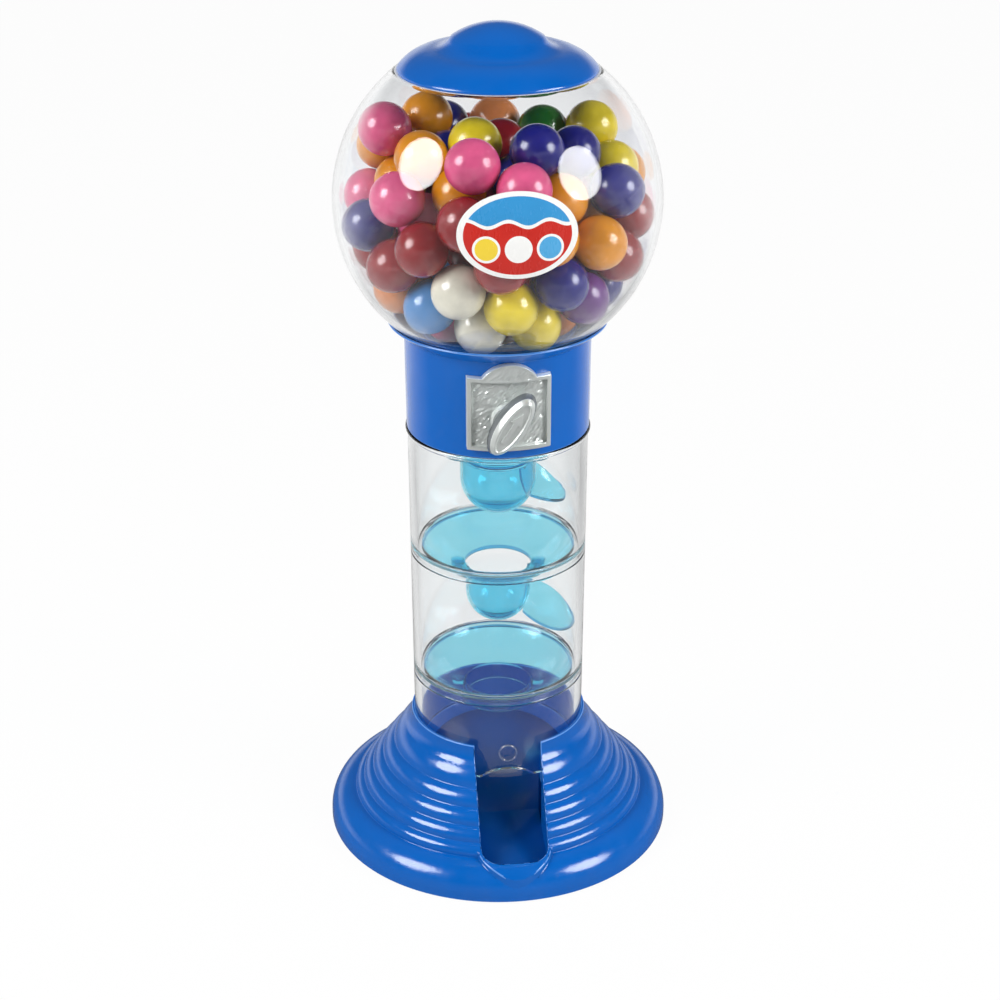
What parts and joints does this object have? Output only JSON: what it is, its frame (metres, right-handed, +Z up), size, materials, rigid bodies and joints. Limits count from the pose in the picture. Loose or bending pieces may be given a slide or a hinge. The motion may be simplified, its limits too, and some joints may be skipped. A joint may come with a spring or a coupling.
{
  "type": "gumball machine",
  "caption": "Toy gumball machine: clear globe with a lift-off lid on a collar with a turning knob, a clear tube with spiral funnels and cups, and a ribbed base with a chute",
  "frame": {"origin": "on the floor, at the middle of the base", "axes": "+Z up along the tube, -Y to the front with the knob and the chute, +X to the right as seen from the front"},
  "size_m": [0.112, 0.112, 0.2666],
  "materials": {
    "blue_plastic": "glossy moulded blue",
    "dark_plastic": "matt moulded dark blue",
    "clear_plastic": "polished clear",
    "cyan_plastic": "polished see-through light blue",
    "silver_plastic": "silver lacquer, hammered on the plate's face",
    "white_plastic": "plain moulded white",
    "steel": "zinc plated",
    "rubber": "matt black",
    "label": "printed gloss film",
    "gum_orange": "hard polished sugar shell",
    "gum_red": "hard polished sugar shell",
    "gum_navy": "hard polished sugar shell",
    "gum_yellow": "hard polished sugar shell",
    "gum_green": "hard polished sugar shell",
    "gum_pink": "hard polished sugar shell",
    "gum_white": "hard polished sugar shell",
    "gum_peach": "hard polished sugar shell",
    "gum_sky": "hard polished sugar shell",
    "gum_purple": "hard polished sugar shell"
  },
  "bodies": {
    "machine": {"base_shell": "blue_plastic", "chute_ramp": "blue_plastic", "collar": "blue_plastic", "base_cover": "dark_plastic", "lower_tube": "clear_plastic", "middle_tube": "clear_plastic", "upper_tube": "clear_plastic", "globe": "clear_plastic", "upper_funnel": "cyan_plastic", "lower_funnel": "cyan_plastic", "upper_cup": "cyan_plastic", "lower_cup": "cyan_plastic", "outlet_spout": "cyan_plastic", "front_plate": "silver_plastic", "drum_housing": "white_plastic", "hopper_floor": "white_plastic", "shaft_bush": "white_plastic", "cover_screws": "steel", "housing_screws": "steel", "cup_pins": "steel", "feet": "rubber", "front_label": "label", "gumballs_orange": "gum_orange", "gumballs_red": "gum_red", "gumballs_navy": "gum_navy", "gumballs_yellow": "gum_yellow", "gumballs_green": "gum_green", "gumballs_pink": "gum_pink", "gumballs_white": "gum_white", "gumballs_peach": "gum_peach", "gumballs_sky": "gum_sky", "gumballs_purple": "gum_purple"},
    "dispenser": {"knob": "silver_plastic", "dispensing_drum": "white_plastic", "drive_pin": "steel"},
    "lid": {"lid": "blue_plastic"}
  },
  "joints": [
    {"name": "knob_turn", "type": "hinge", "parent": "machine", "child": "dispenser", "pos_m": [0, -0.03, 0.1555], "axis": [0, 1, 0], "continuous": true},
    {"name": "lid_lift", "type": "slide", "parent": "machine", "child": "lid", "axis": [0, 0, 1], "range_m": [0, 0.06]}
  ]
}
